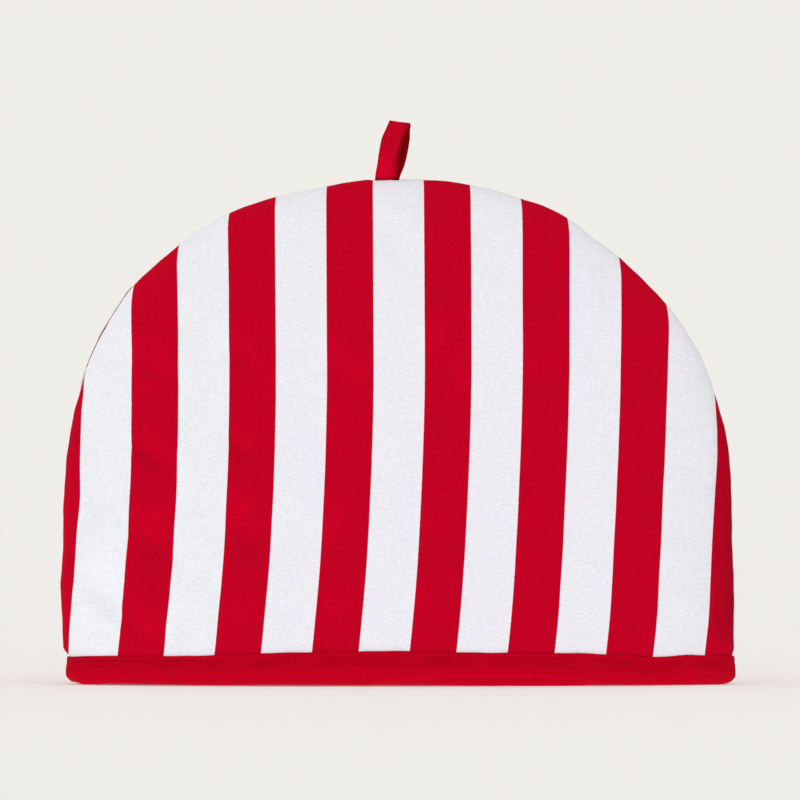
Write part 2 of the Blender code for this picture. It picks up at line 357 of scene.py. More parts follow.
# ---- Panels
Skin = namedtuple("Skin", "top width depth hem_inset")
OUTSIDE = Skin(1.0, 1.0, 1.0, LEAF + OVAL_GAP)
INSIDE = Skin(
    1 - WALL / CREST_HEIGHT,
    1 - WALL / WIDEST,
    1 - WALL / HALF_DEPTH,
    LEAF + OVAL_GAP + HEM_WALL,
)


def section(height, skin):
    """(left, right, depth) of a panel's skin at each height."""
    left, right = seam_sides(height)
    lean = np.maximum(1 - (height / CREST_HEIGHT) ** RISE_POWER, 0.0) ** LEAN_POWER
    free = (left * skin.width, right * skin.width, HALF_DEPTH * lean * skin.depth)
    pressed = binding_sizes(skin.hem_inset)
    sideways = ease(height, *SIDE_SWELL)
    shares = (sideways, sideways, ease(height, *SWELL))
    return [p + (f - p) * share for p, f, share in zip(pressed, free, shares)]


def even_rows(skin, step):
    """Heights from the hem to just below the crest, evenly spaced up the panel's middle."""
    dense = CREST_HEIGHT * np.sin(np.linspace(0, np.pi / 2, DENSE_ROWS))
    dense = dense[(dense > HEM_START) & (dense < CREST_HEIGHT * LAST_ROW_SHARE)]
    dense = np.concatenate([[HEM_START], dense, [CREST_HEIGHT * LAST_ROW_SHARE]])
    length = run_along(dense, section(dense, skin)[2])
    return np.interp(np.linspace(0, length[-1], round(length[-1] / step) + 1), length, dense)


def even_angles(left, right, depth):
    """Angles that divide one level section into equal lengths of cloth."""
    dense = np.linspace(0.0, np.pi, DENSE_COLUMNS)
    length = run_along(*oval(dense, left, right, depth))
    return np.interp(np.linspace(0, length[-1], PANEL_COLUMNS + 1), length, dense)


def skin_points(skin, step):
    """Rows of (x, out, z) over one skin of a panel, from the hem to the crest."""
    heights = even_rows(skin, step)
    left, right, depth = section(heights, skin)
    angles = np.array([even_angles(*sizes) for sizes in zip(left, right, depth)])
    x, out = oval(angles, left[:, None], right[:, None], depth[:, None])
    height = np.repeat(heights[:, None], PANEL_COLUMNS + 1, axis=1)
    arch = between(height, *ARCH)
    z = height + arch * (binding_top(x) - BINDING_SIDE_HEIGHT)
    z -= (1 - skin.top) * height**2 / CREST_HEIGHT
    return x, np.maximum(out, 0.0), z


def outline_curve():
    """The seam seen from the front, from the left foot over the crest to the right foot.

    Gives its points, its normals and the length up to each point.
    """
    heights = CREST_HEIGHT * np.sin(np.linspace(0, np.pi / 2, SEAM_POINTS))
    left, right = seam_sides(heights)
    line = np.concatenate([np.stack([-left, heights], 1), np.stack([right, heights], 1)[-2::-1]])
    along = np.gradient(line, axis=0)
    along /= np.linalg.norm(along, axis=1, keepdims=True)
    return line, np.stack([-along[:, 1], along[:, 0]], 1), run_along(*line.T)


def from_outline(x, z):
    """Each point's distance inside the outline, the normal there and the place along it."""
    line, normals, length = outline_curve()
    flat = np.stack([x.ravel(), z.ravel()], 1)
    nearest = np.concatenate([
        np.argmin(((part[:, None] - line[None]) ** 2).sum(2), axis=1)
        for part in np.array_split(flat, max(1, len(flat) // BATCH))
    ])
    inward = ((line[nearest] - flat) * normals[nearest]).sum(1)
    return (
        inward.reshape(x.shape),
        normals[nearest].reshape(*x.shape, 2),
        length[nearest].reshape(x.shape),
    )


def lean_at(x, z):
    """How far the stripes stand sideways from their places at the shoulder."""
    heights, *columns = np.array(LEANS).T * MM
    left, middle, right = (smooth_through(z, heights, column) for column in columns)
    side = np.clip(x / LEAN_SPAN, -LEAN_REACH, LEAN_REACH)
    return middle + (right - left) / 2 * side + ((right + left) / 2 - middle) * side**2


def relief(x, z, dents):
    """The depth of the soft troughs at each point."""
    depth = np.zeros_like(x)
    for dent in dents:
        slope = math.radians(dent.slope)
        dx, dz = x - dent.x * MM, z - dent.height * MM
        along = dx * math.cos(slope) + dz * math.sin(slope)
        across = dz * math.cos(slope) - dx * math.sin(slope)
        depth += dent.depth * MM * np.exp(
            -((along / (dent.length * MM)) ** 2) - (across / (dent.width * MM)) ** 2
        )
    return depth


def waves(place, periods, seed):
    """A sum of sine waves with the given periods and random phases, between about -1 and 1."""
    phases = np.random.default_rng(seed).uniform(0, 2 * np.pi, len(periods))
    turns = (2 * np.pi * place / period + phase for period, phase in zip(periods, phases))
    return sum(np.sin(turn) for turn in turns) / math.sqrt(len(periods))


def surface_normals(points):
    """Normals of a grid of points, (rows, columns, 3)."""
    up, across = np.gradient(points, axis=0), np.gradient(points, axis=1)
    normal = np.cross(up, across)
    return normal / np.maximum(np.linalg.norm(normal, axis=2, keepdims=True), 1e-12)


def draw_in(points, normal, by):
    """Moves points inwards along the outline's normals."""
    points[..., [0, 2]] -= normal * by[..., None]


def half_gap(out):
    """Half the gap between the two panels, which closes away from the seam."""
    return GAP / 2 * (1 - ease(out, 0.0, SEAM_REACH))


def outer_skin(facing, dents, seed):
    """The striped side of a panel: its points, and each one's place on the flat cloth."""
    x, out, z = skin_points(OUTSIDE, ROW_STEP)
    inward, normal, along = from_outline(x, z)
    free = ease(z, *FREE)
    sink = relief(x, z, dents) * free
    take_up = RIM_TAKE_UP * np.clip(1 - inward / RIM_REACH, 0.0, 1.0) ** 2
    flat_x = x * (1 + STRETCH * out / HALF_DEPTH) - lean_at(x, z) + normal[..., 0] * take_up
    flat_z = z + normal[..., 1] * take_up

    round_middle = np.degrees(np.arctan2(z - RIM_MIDDLE_Z, x))
    round_middle = np.where(round_middle < -90, round_middle + 360, round_middle)
    bulge = from_table(round_middle * MM, RIM_SHIFTS) * (1 - ease(inward, *RIM_SHIFTS_END)) * free
    x, z = x + normal[..., 0] * bulge, z + normal[..., 1] * bulge
    points = np.stack([x, facing * out, z], 2)
    outwards = surface_normals(points) * -facing
    outwards *= np.where(outwards[..., 1:2] * facing < -1e-9, -1.0, 1.0)
    pucker = PUCKER * waves(along, PUCKER_PERIODS, seed)
    pucker = pucker * np.clip(1 - inward / PUCKER_REACH, 0, 1) ** 1.5
    soft = SOFTNESS * waves(x + SOFT_SLANT * z, SOFT_PERIODS_ACROSS, seed + 1)
    soft = soft * waves(z, SOFT_PERIODS_UP, seed + 2)
    points = points + outwards * ((soft + pucker) * free - sink)[..., None]

    at_loop = (1 - ease(np.abs(x - LOOP_FOOT_X), *POCKET_SIDES)) * (z > CREST_HEIGHT / 2)
    valley = SEAM_TUCK * bell(out, SEAM_WIDTH, power=1.5) * free
    draw_in(points, normal, valley + LOOP_POCKET * at_loop * bell(out, POCKET_DEPTH, power=4))
    # painted shade: the dents darker and the puffs paler, and more in the seam's valley, towards
    # the right-hand edge and where the back shows
    shade = sink + SEAM_SHADE * bell(out, SEAM_SHADE_WIDTH) * free
    shade += RIGHT_SHADE * sum(ease(x, *step) for step in RIGHT_SHADE_STEPS) * free
    if facing > 0:
        shown = np.where(x < 0, BACK_SHOWS * between(z, *BACK_SHOWS_AT), 0.0)
        near_rim = bell(np.maximum(inward, 0.0), BACK_SET_REACH, power=1)
        draw_in(points, normal, (BACK_SET_IN - shown) * near_rim * free)
        shade += BACK_SHADE * shown * bell(out, BACK_SHADE_WIDTH, power=4)
    points[..., 1] += facing * half_gap(out)
    return points, np.stack([flat_x, flat_z, np.minimum(shade, DEEPEST_SHADE)], 2)


def inner_skin(facing):
    """The plain side of a panel."""
    x, out, z = skin_points(INSIDE, INSIDE_ROW_STEP)
    return np.stack([x, facing * (out + half_gap(out)), z], 2), np.stack([x, z, 0 * z], 2)


def skin_faces(ids, top):
    """Quads over a grid of point numbers, and triangles from its last row to the top point."""
    quads = np.stack([ids[:-1, :-1], ids[:-1, 1:], ids[1:, 1:], ids[1:, :-1]], 2).reshape(-1, 4)
    return [*quads, *((a, b, top) for a, b in zip(ids[-1], ids[-1][1:]))]


def strip_faces(a, b):
    """Quads between two equally long lines of point numbers."""
    a, b = np.asarray(a), np.asarray(b)
    return np.stack([a[:-1], a[1:], b[1:], b[:-1]], 1)


def tube_faces(rings):
    """Quads between closed rings of point numbers, and a face at each end."""
    faces = []
    for a, b in zip(rings, rings[1:]):
        faces += [*strip_faces(a + a[:1], b + b[:1])]
    return [*faces, rings[0][::-1], rings[-1]]


def new_mesh(name, points, faces, cloth, second=None):
    """A smooth closed mesh that carries each point's place on the flat cloth and its shade.

    Where it's given, second says of each face whether it has the second material.
    """
    mesh = bpy.data.meshes.new(name)
    mesh.from_pydata(np.asarray(points).tolist(), [], [list(map(int, face)) for face in faces])
    place = mesh.attributes.new("cloth", "FLOAT_VECTOR", "POINT")
    cloth = np.asarray(cloth)
    flat = np.zeros((len(points), 3))
    flat[:, :cloth.shape[1]] = cloth
    place.data.foreach_set("vector", flat.ravel())
    mesh.shade_smooth()
    mesh.validate()
    if second is not None:
        mesh.polygons.foreach_set("material_index", np.asarray(second, np.int32))
    work = bmesh.new()
    work.from_mesh(mesh)
    bmesh.ops.recalc_face_normals(work, faces=work.faces)
    work.to_mesh(mesh)
    work.free()
    piece = bpy.data.objects.new(name, mesh)
    bpy.context.scene.collection.objects.link(piece)
    return piece


def seam_faces(outer, inner):
    """The seam's face between two lines of point numbers, which differ in length."""
    faces = []
    j = 0
    for i in range(len(outer) - 1):
        share = (i + 1) / (len(outer) - 1)
        reached = round(share * (len(inner) - 1))
        if reached == j:
            faces.append((outer[i], outer[i + 1], inner[j]))
        else:
            faces.append((outer[i], outer[i + 1], inner[reached], inner[j]))
            j = reached
    return faces


def make_panel(name, facing, dents, seed):
    """A whole padded panel, striped outside and plain inside, closed round its edges."""
    outer, outer_cloth = outer_skin(facing, dents, seed)
    inner, inner_cloth = inner_skin(facing)
    rows, columns = outer.shape[:2]
    count = rows * columns
    crest_heights = (CREST_HEIGHT - SEAM_TUCK, CREST_HEIGHT * INSIDE.top)
    crests = [[0.0, facing * GAP / 2, height] for height in crest_heights]
    points = np.concatenate([outer.reshape(-1, 3), inner.reshape(-1, 3), crests])
    cloth = np.concatenate(
        [outer_cloth.reshape(-1, 3), inner_cloth.reshape(-1, 3), [[0.0, CREST_HEIGHT, 0.0]] * 2]
    )
    top, inner_top = len(points) - 2, len(points) - 1
    outer_ids = np.arange(count).reshape(rows, columns)
    inner_ids = np.arange(count, len(points) - 2).reshape(-1, columns)
    striped = skin_faces(outer_ids, top)
    plain = skin_faces(inner_ids, inner_top)
    plain += [*strip_faces(outer_ids[0], inner_ids[0])]
    for side in (0, columns - 1):
        plain += seam_faces([*outer_ids[:, side], top], [*inner_ids[:, side], inner_top])
    inside = [0] * len(striped) + [1] * len(plain)
    return new_mesh(name, points, striped + plain, cloth, inside)


# ---- Binding
BINDING_ACROSS = 2 * (LEAF + OVAL_GAP) + HEM_WALL
SLOT_TOP = 0.9 * MM  # the slot's sides end this far below the strip's upper edge
SLOT_ROWS = 6
GROOVE = 0.2 * MM  # the topstitching draws the cloth in by this much
GROOVE_LOSS = 0.6  # by this share less at the seams
TOP_EDGE = [  # the strip's rounded upper edge: millimetres in and down
    (1.274, 0.15), (1.04, -0.02), (0.715, 0.04), (0.39, 0.3), (0.13, 0.75), (0.02, 1.3),
]
GROOVE_SHAPE = [  # (share of the groove's depth, millimetres below the upper edge)
    (0.2, 1.7), (0.8, 2.05), (1.0, 2.3), (0.8, 2.55), (0.2, 2.95),
]
STITCH_BELOW = 2.3 * MM  # the topstitching, below the upper edge
STITCH_PITCH = 2.9 * MM
STITCH_LENGTH = 2.1 * MM
THREAD_RADIUS = 0.33 * MM
THREAD_SIDES = 6
THREAD_RINGS = (0.0, 0.12, 0.5, 0.88, 1.0)
THREAD_END = 0.45  # a thread's radius at its ends, as a share of its middle's
THREAD_DEEP, THREAD_ARCH = 0.15 * MM, 0.22 * MM  # its ends lie this deep, and its middle rises
STITCHES_SINK = 0.24 * MM  # the front's stitches sink between these places and stay sunk beyond
STITCHES_SINK_AT = (-106.0 * MM, -84.0 * MM)
BELLY_START = 3.6 * MM  # the strip swells out between here and its lower edge
BELLY_ROWS = 22
BELLY_SWELL = 0.5 * MM
BELLY_POWER = 0.7
ROUND_HEIGHT = (3.2, 0.8)  # the rounded lower edge in millimetres, and what the seams add to it
ROUND_DEPTH = (2.1, 0.7)
ROUND_FOOT = (3.0, 0.5)
ENDS = (4.0 * MM, 16.0 * MM)  # the seams' bulk fades out between these distances from them

HEM_TOPS = [  # the binding's upper edge: (x, height) in millimetres
    (-172, 14.4), (-156, 14.9), (-107, 15.4), (-57, 17.2), (0, 18.0), (43, 17.2), (95, 16.7),
    (120, 15.6), (131, 14.8), (150, 15.4), (174, 14.9),
]
HEM_TOP_WAVES = 0.14 * MM
HEM_TOP_PERIODS = (31.0 * MM, 19.0 * MM, 53.0 * MM)
FRONT_LIFTS = [  # how far the front's hem is off the floor: (x, height) in millimetres
    (-172, 1.2), (-168.5, 0.8), (-165.5, 0.0), (-162, 0.2), (-157, 0.45), (-125, 0.55),
    (-109, 0.4), (-95, 0.35), (-78, 0.5), (-60, 0.6), (-42, 0.6), (-20, 0.55), (20, 0.5),
    (40, 0.25), (57, 0.2), (66, 0.1), (82, 0.1), (102, 0.4), (115, 0.4), (132, 0.25), (155, 0.2),
    (163, 0.1), (167, 0.0), (171, 0.2), (174, 0.7),
]
BACK_LIFTS = [  # and the back's
    (-172, 1.2), (-165.5, 0.0), (-150, 0.1), (-120, 0.4), (-85, 0.6), (-50, 0.2), (-15, 0.0),
    (25, 0.3), (60, 0.6), (95, 0.3), (130, 0.0), (158, 0.2), (167, 0.0), (174, 0.7),
]
CREASE_FROM, CREASE_TO = -26 * MM, 112 * MM  # a crease runs along the front's hem between these
CREASE_SKEW = 1.25  # it is highest a little to the right of its middle
CREASE_HIGH = 4.6 * MM  # above the hem's edge at its highest
CREASE_DEPTH = 0.9 * MM
CREASE_STEP = (-0.15 * MM, 0.45 * MM)
CREASE_CLEAR = (0.3 * MM, 1.6 * MM)  # it fades out as it comes down to the hem's edge
RIDGE = 0.2 * MM  # the cloth stands out just above the crease
RIDGE_ABOVE = 0.7 * MM
RIDGE_WIDTH = 0.7 * MM

# The strip's tones, each given as the depth of a dent that looks as dark: paler if below 0; painted
# shade and light where marked
UPPER_SHADE, UPPER_SHADE_AT = 1.5 * MM, (1.8 * MM, 3.0 * MM, 4.5 * MM, 9.5 * MM)  # painted shade below its top, under the fold of its upper edge
UPPER_SHADE_WAVES = 0.7 * MM
UPPER_SHADE_PERIODS = (47.0 * MM, 29.0 * MM)
# painted light on the strip's belly
BELLY_LIGHT, BELLY_LIGHT_AT = -1.2 * MM, (8.0 * MM, 11.0 * MM)
# a painted highlight along the ridge above the crease
RIDGE_HIGHLIGHT, RIDGE_HIGHLIGHT_WIDTH = -3.4 * MM, 0.5 * MM
UNDER_CREASE_SHADE, UNDER_CREASE_SHADE_STEP = 0.6 * MM, 0.5 * MM  # painted shade below the crease
FOOT_TONE, FOOT_TONE_AT = -1.6 * MM, (0.5 * MM, 1.6 * MM)  # above the floor


def hem_top(x, place):
    return from_table(x, HEM_TOPS) + HEM_TOP_WAVES * waves(place, HEM_TOP_PERIODS, seed=11)


def binding_profile(top, lift, at_end, crease):
    """The folded strip in section: up the slot's side, over the edge and down the outside."""
    inside = [(LEAF, z) for z in np.linspace(lift + HEM_FLOOR, top - SLOT_TOP, SLOT_ROWS)]
    groove = GROOVE * (1 - GROOVE_LOSS * at_end)
    edge = [(inset * MM, top - below * MM) for inset, below in TOP_EDGE]
    edge += [(groove * share, top - below * MM) for share, below in GROOVE_SHAPE]
    round_height, round_depth, round_foot = (
        (usual + added * at_end) * MM for usual, added in (ROUND_HEIGHT, ROUND_DEPTH, ROUND_FOOT)
    )
    folded = ease(crease, *CREASE_CLEAR)
    belly = []
    for share in np.linspace(1.0, 0.0, BELLY_ROWS):
        above = (top - BELLY_START - lift) * share
        swell = BELLY_SWELL * math.sin(math.pi * share) ** BELLY_POWER
        round_under = round_depth * max(1 - above / round_height, 0.0) ** 2
        fold = CREASE_DEPTH * ease(crease - above, *CREASE_STEP) * folded
        ridge = RIDGE * bell(above - crease - RIDGE_ABOVE, RIDGE_WIDTH) * folded
        belly.append((fold - swell - ridge + round_under, lift + above))
    return inside + edge + belly + [(round_foot, lift)]


def binding_shade(z, top, lift, crease, uneven):
    """The strip's tone at a height, with a part that varies along the hem: painted shade below its
    upper edge and under the crease, painted light on its belly and a painted highlight on the
    ridge.
    """
    below, above = top - z, z - lift
    folded = ease(crease, *CREASE_CLEAR)
    upper = (UPPER_SHADE + uneven) * between(below, *UPPER_SHADE_AT)
    belly = BELLY_LIGHT * ease(below, *BELLY_LIGHT_AT)
    ridge = RIDGE_HIGHLIGHT * bell(above - crease - RIDGE_ABOVE, RIDGE_HIGHLIGHT_WIDTH) * folded
    under = UNDER_CREASE_SHADE * (1 - ease(above, crease - UNDER_CREASE_SHADE_STEP, crease)) * folded
    foot = FOOT_TONE * (1 - ease(above, *FOOT_TONE_AT))
    return upper + belly + ridge + under + foot


def binding_ring():
    """Stations round the hem from the right-hand seam: their angles and places, and its length."""
    dense = np.linspace(0.0, 2 * np.pi, DENSE_RING)
    length = run_along(*oval(dense, *BINDING_SIZES))
    count = round(length[-1] / BINDING_STEP)
    places = np.arange(count) * length[-1] / count
    return np.interp(places, length, dense), places, length[-1]


def make_binding(name):
    """The folded strip all round the hem, with the panels' hems in its slot."""
    angles, places, _ = binding_ring()
    rings, cloth = [], []
    for angle, place in zip(angles, places):
        x, out = oval(angle, *BINDING_SIZES)
        top = hem_top(x, place)
        lift = max(from_table(x, FRONT_LIFTS if out > 0 else BACK_LIFTS), 0.0)
        at_end = 1 - ease(abs(out), *ENDS)
        along = (x - CREASE_FROM) / (CREASE_TO - CREASE_FROM)
        creased = 0 < along < 1 and out > 0
        crease = CREASE_HIGH * math.sin(math.pi * along**CREASE_SKEW) if creased else 0.0
        uneven = UPPER_SHADE_WAVES * waves(place, UPPER_SHADE_PERIODS, seed=21)
        inner_side = reversed(binding_profile(top, lift, at_end, 0.0))
        profile = [(inset, z, crease if inset < LEAF else 0.0)
                   for inset, z in binding_profile(top, lift, at_end, crease)]
        profile += [(BINDING_ACROSS - inset, z, 0.0) for inset, z in inner_side]
        ring = []
        run = 0.0
        before = profile[0]
        for inset, z, fold in profile:
            px, pout = oval(angle, *binding_sizes(inset))
            run += math.hypot(inset - before[0], z - before[1])
            before = (inset, z)
            ring.append((px, -pout, z))
            cloth.append((place, run, binding_shade(z, top, lift, fold, uneven)))
        rings.append(ring)
    points = np.array(rings)
    count, around = points.shape[:2]
    ids = np.arange(count * around).reshape(count, around)
    ahead, after = np.roll(ids, -1, 0), np.roll(ids, -1, 1)
    faces = np.stack([ids, ahead, np.roll(ahead, -1, 1), after], 2).reshape(-1, 4)
    return new_mesh(name, points.reshape(-1, 3), faces, cloth)


def make_stitches(name):
    """The topstitching: short threads in the groove, on both sides of the binding."""
    angles, places, whole = binding_ring()
    points, faces, cloth = [], [], []
    count = round(whole / STITCH_PITCH)
    sides = THREAD_SIDES
    for inset, sign in ((GROOVE, 1), (BINDING_ACROSS - GROOVE, -1)):
        sizes = binding_sizes(inset)
        for i in range(count):
            centre = i * whole / count
            first = len(points)
            for t in THREAD_RINGS:
                place = (centre + (t - 0.5) * STITCH_LENGTH) % whole
                angle = np.interp(place, [*places, whole], [*angles, 2 * np.pi])
                x, out = oval(angle, *sizes)
                ahead = oval(angle + 0.01, *sizes)
                along = np.array([ahead[0] - x, out - ahead[1], 0.0])
                along /= np.linalg.norm(along)
                outward = np.array([along[1], -along[0], 0.0]) * sign
                if outward @ np.array([x, -out, 0]) * sign < 0:
                    outward = -outward
                top = hem_top(oval(angle, *BINDING_SIZES)[0], place)
                rise = math.sin(math.pi * t)
                sunk = STITCHES_SINK * ease(x, *STITCHES_SINK_AT) * (out > 0)
                height = THREAD_ARCH * rise - THREAD_DEEP - sunk
                middle = np.array([x, -out, top - STITCH_BELOW]) + outward * height
                radius = THREAD_RADIUS * (THREAD_END + (1 - THREAD_END) * rise**0.5)
                for s in range(sides):
                    turn = 2 * math.pi * s / sides
                    offset = outward * math.cos(turn) + np.array([0, 0, 1.0]) * math.sin(turn)
                    points.append(middle + offset * radius)
                    cloth.append((place, turn * radius))
            starts = range(first, len(points), sides)
            faces += tube_faces([list(range(start, start + sides)) for start in starts])
    return new_mesh(name, points, faces, cloth)


# ---- Loop
FOLD_START = 1 - (FOLD_RADIUS + TAPE_THICK / 2) / LOOP_RISE
# The tape's tones, given like the panels' shades: paler if below 0; painted shade and light where
# marked
FOOT_SHADE, FOOT_SHADE_RISE = 9.0 * MM, 0.03  # where it goes into the seam
RISE_SHADE, RISE_SHADE_BASE, RISE_SHADE_ENDS = 5.4 * MM, 0.8, (0.1, 0.6)  # painted light at its foot giving way to painted shade: it darkens upwards
EDGE_SHADE, EDGE_SHADE_WIDTH = 5.0 * MM, 1.1 * MM
CURL_SHADE = 11.0 * MM  # its right-hand edge turns away from the light
CURL_FROM, CURL_FROM_ADDED, CURL_FROM_ENDS = 0.05, 0.3, (0.25, 0.6)  # in shares of its width
CURL_TO = 0.58
CURL_LOSS, CURL_LOSS_ENDS = 0.6, (0.7, 1.0)  # less near the fold


def leg_spread(rise):
    """How far a leg lies from the loop's middle plane."""
    foot = TAIL_SPREAD + (LOOP_BELLY - TAIL_SPREAD) * ease(rise, 0.0, BELLY_RISE)
    return foot + (FOLD_RADIUS - LOOP_BELLY) * ease(rise, BELLY_RISE, 1.0)


def leg_middle(rise, side):
    """The tape's middle from side to side: side is 0 on the front leg and 1 on the back one."""
    rises, front, back = np.array(LEG_PLACES).T
    front, back = (smooth_through(min(rise, 1.0), rises, values) * MM for values in (front, back))
    return front + (back - front) * side


def loop_path():
    """(spread, rise) along the tape: up the front leg, round the fold and down the back leg."""
    low = -TAIL_DEPTH / LOOP_RISE
    rises = np.linspace(low, FOLD_START, LEG_ROWS)
    front = [(-float(leg_spread(rise)), rise) for rise in rises]
    fold = [
        (FOLD_RADIUS * math.sin(turn), FOLD_START + FOLD_RADIUS * math.cos(turn) / LOOP_RISE)
        for turn in np.radians(np.linspace(-FOLD_TURN, FOLD_TURN, FOLD_ROWS))
    ]
    return front + fold + [(-spread, rise) for spread, rise in reversed(front)]


def tape_section():
    """(across, through) round the tape: rounded folded edges and a slightly hollow middle."""
    half, thick = TAPE_WIDTH / 2 - TAPE_CORNER, TAPE_THICK / 2 - TAPE_CORNER
    edge = [
        (half + TAPE_CORNER * math.cos(turn), thick + TAPE_CORNER * math.sin(turn))
        for turn in np.linspace(0, np.pi / 2, CORNER_POINTS)
    ]
    flat = [
        (across, TAPE_THICK / 2 - TAPE_HOLLOW * math.cos(across / TAPE_WIDTH * math.pi) ** 2)
        for across in np.linspace(half, -half, FLAT_POINTS)[1:-1]
    ]
    top = edge + flat + [(-across, through) for across, through in reversed(edge)]
    return top + [(-across, -through) for across, through in top]


def tape_shade(across, rise, side):
    """The tape's tone at a place across it: painted shade at its foot and on its curled right-hand
    edge, painted light low down that gives way to shade higher up, and darker edges.
    """
    foot = FOOT_SHADE * (1 - ease(rise, 0.0, FOOT_SHADE_RISE))
    risen = RISE_SHADE * (ease(rise, *RISE_SHADE_ENDS) - RISE_SHADE_BASE)
    edge = EDGE_SHADE * ease(abs(across), TAPE_WIDTH / 2 - EDGE_SHADE_WIDTH, TAPE_WIDTH / 2)
    start = TAPE_WIDTH * (CURL_FROM + CURL_FROM_ADDED * ease(rise, *CURL_FROM_ENDS))
    curl = CURL_SHADE * ease(across, start, CURL_TO * TAPE_WIDTH)
    curl = curl * (1 - CURL_LOSS * ease(rise, *CURL_LOSS_ENDS)) * (side < 0.5)
    return max(edge, curl) + foot + risen


def make_loop(name):
    """The tape, folded in two, with both its ends in the seam."""
    path = loop_path()
    around = tape_section()
    points, cloth, rings = [], [], []
    run = 0.0
    for i, (spread, rise) in enumerate(path):
        before, after = path[max(i - 1, 0)], path[min(i + 1, len(path) - 1)]
        along = np.array([after[0] - before[0], (after[1] - before[1]) * LOOP_RISE])
        along /= np.linalg.norm(along)
        run += math.hypot(spread - before[0], (rise - before[1]) * LOOP_RISE)
        tilt = LOOP_TOP_TILT * max(rise, 0.0)
        reach = abs(leg_spread(rise)) if rise < FOLD_START else FOLD_RADIUS
        side = (spread / reach + 1) / 2
        middle = leg_middle(rise, side)
        untwisted = math.sin(math.pi * min(max(rise, 0.0), 1.0)) ** TWIST_POWER
        turn = LOOP_TURN * ease(rise, 0.0, TURNED_BY) - BACK_TWIST * side * untwisted
        height = rise * LOOP_RISE - FOLD_DROP * ease(rise, 0.5, 1.0)
        rings.append(list(range(len(points), len(points) + len(around))))
        for across, through in around:
            level, deep = across * math.cos(tilt), through * along[1]
            px = middle + level * math.cos(turn) + deep * math.sin(turn)
            py = -level * math.sin(turn) + (spread + deep) * math.cos(turn)
            up = height - through * along[0] - across * math.sin(tilt)
            points.append((px, py, CREST_HEIGHT + up))
            cloth.append((run, across, tape_shade(across, rise, side)))
    half = len(around) // 2
    # the inner faces take the darker red, which paints their shade
    shaded_faces = ([1] * half + [0] * half) * (len(path) - 1) + [0, 0]
    return new_mesh(name, points, tube_faces(rings), cloth, shaded_faces)


# ---- Materials
WHITE = (0.748, 0.744, 0.808)
COOL_WHITE = (0.742, 0.758, 0.811)  # in soft patches, and more of it on the left, where the extra is painted cool light
COOL_SHARE, LEFT_COOL_LIGHT = 0.3, 0.8
LEFT_COOL_LIGHT_AT = (-50.0, -105.0)  # in millimetres along the cloth
RED = (0.492, 0.0004, 0.0169)
BINDING_RED = (0.460, 0.0003, 0.0124)
# darker than the binding: painted shade of the stitches sunk in their groove
THREAD_RED = (0.365, 0.0004, 0.0090)
LOOP_RED = (0.485, 0.0004, 0.0161)
LOOP_SHADED_RED = (0.255, 0.0001, 0.0020)  # painted shade on the tape's inner faces
INSIDE_WHITE = (0.76, 0.755, 0.74)

# Shares of the brightness
RED_SHADE_PER_MM = 0.055  # painted shade and light: this share for each millimetre of a dent's depth, and of every shade given as such a depth
WHITE_SHADE_PER_MM = 0.02
RED_BLOTCHES, WHITE_BLOTCHES = 0.03, 0.012
RED_MOTTLES, PLAIN_MOTTLES = 0.015, 0.02
RED_THREADS, WHITE_THREADS, PLAIN_THREADS, INNER_THREADS = 0.12, 0.085, 0.13, 0.012
TWIST, TWIST_MIDDLE = 0.12, 0.95  # painted shade and light along a sewing thread's twist

# Shares in the threads' pattern, and in the height of its bumps
LONG_SLUB_SHARE, WARP_SHARE = 0.45, 0.4
UNEVEN_RELIEF, CROSSING_RELIEF = 0.5, 0.25

# Sizes in millimetres
WEAVE = 0.46  # from thread to thread
STRIPED_SLUB, PLAIN_SLUB = 2.6, 9.0  # how long a weft thread's thicker places are
LONG_SLUBS, LONG_SLUB_WIDTH = 6, 0.7  # some are this many times as long
WARP_SLUB, WARP_WIDTH = 7.0, 0.5
STRIPE_BLUR, STRIPE_RAGGED = 0.12, 0.10
TWIST_PITCH = 0.5  # of a sewing thread
Streaks = namedtuple("Streaks", "along across seed detail")
MOTTLES = Streaks(24.0, 18.0, 5.5, 2.0)
PLAIN_COTTON_MOTTLES = Streaks(20.0, 14.0, 6.5, 2.0)
BLOTCHES = Streaks(8.0, 8.0, 3.5, 1.0)
RAGS = Streaks(40.0, 0.7, 9.0, 1.0)

STRIPED_BUMP, PLAIN_BUMP = 0.08 * MM, 0.05 * MM
DIFFUSE_ROUGHNESS = 0.35
SHEEN_ROUGHNESS = 0.5


